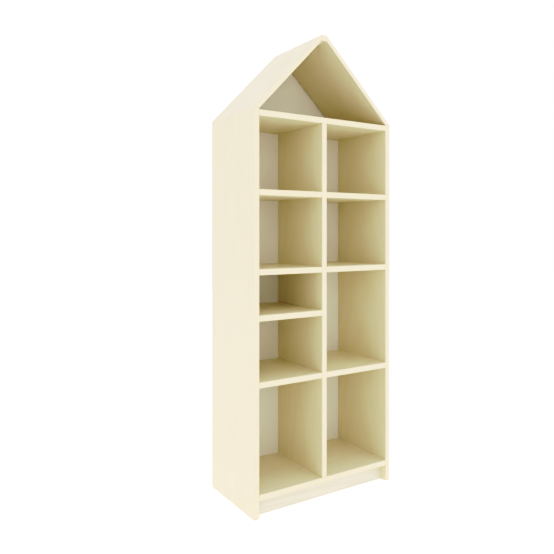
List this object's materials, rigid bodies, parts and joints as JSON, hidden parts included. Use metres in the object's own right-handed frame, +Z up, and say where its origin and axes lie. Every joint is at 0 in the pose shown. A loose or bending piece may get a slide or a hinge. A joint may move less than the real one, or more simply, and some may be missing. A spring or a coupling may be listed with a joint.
{
  "type": "kids shelf",
  "caption": "Free-standing house-shaped children's bookcase with an attic under a pitched roof with a ridge bar, an off-centre divider, open bays of unequal height and a recessed plinth.",
  "frame": {"origin": "on the floor, under the middle of the overall width and depth", "axes": "+X to the right as seen from the open front, +Y to the back, +Z up; the open front faces -Y"},
  "size_m": [0.54, 0.28, 1.483],
  "materials": {
    "laminate": "cream melamine face on chipboard, satin, fine emboss",
    "edge_band": "cream plastic band, satin",
    "back_board": "white lacquered hardboard",
    "zinc": "bright zinc",
    "die_cast": "die-cast zinc alloy, dull",
    "beech": "raw fluted beech",
    "cover_plastic": "cream moulded plastic",
    "glide_plastic": "pale nylon"
  },
  "bodies": {
    "root": {"side_left": "laminate", "side_right": "laminate", "roof_left": "laminate", "roof_right": "laminate", "top_shelf": "laminate", "bottom_shelf": "laminate", "divider": "laminate", "shelf_left_1": "laminate", "shelf_left_2": "laminate", "shelf_left_3": "laminate", "shelf_left_4": "laminate", "shelf_right_1": "laminate", "shelf_right_2": "laminate", "shelf_right_3": "laminate", "ridge_bar": "laminate", "plinth": "laminate", "back_panel": "back_board", "band_side_left": "edge_band", "band_side_right": "edge_band", "band_roof_left": "edge_band", "band_roof_right": "edge_band", "band_ridge_bar": "edge_band", "band_top_shelf": "edge_band", "band_bottom_shelf": "edge_band", "band_divider": "edge_band", "band_shelf_left_1": "edge_band", "band_shelf_left_2": "edge_band", "band_shelf_left_3": "edge_band", "band_shelf_left_4": "edge_band", "band_shelf_right_1": "edge_band", "band_shelf_right_2": "edge_band", "band_shelf_right_3": "edge_band", "cams_left": "die_cast", "cams_right": "die_cast", "cams_top": "die_cast", "cams_bottom": "die_cast", "cams_plinth": "die_cast", "bolts_side_left": "zinc", "bolts_side_right": "zinc", "bolts_divider": "zinc", "bolts_double": "zinc", "caps_left": "cover_plastic", "caps_right": "cover_plastic", "caps_top": "cover_plastic", "dowels_side_left": "beech", "dowels_side_right": "beech", "dowels_divider": "beech", "dowels_through": "beech", "dowels_eaves": "beech", "dowels_ridge": "beech", "screws_bottom": "zinc", "screws_top": "zinc", "screw_caps": "cover_plastic", "back_nails": "zinc", "glides": "glide_plastic", "wall_bracket_left": "zinc", "wall_bracket_right": "zinc", "bracket_screws": "zinc"}
  },
  "joints": []
}
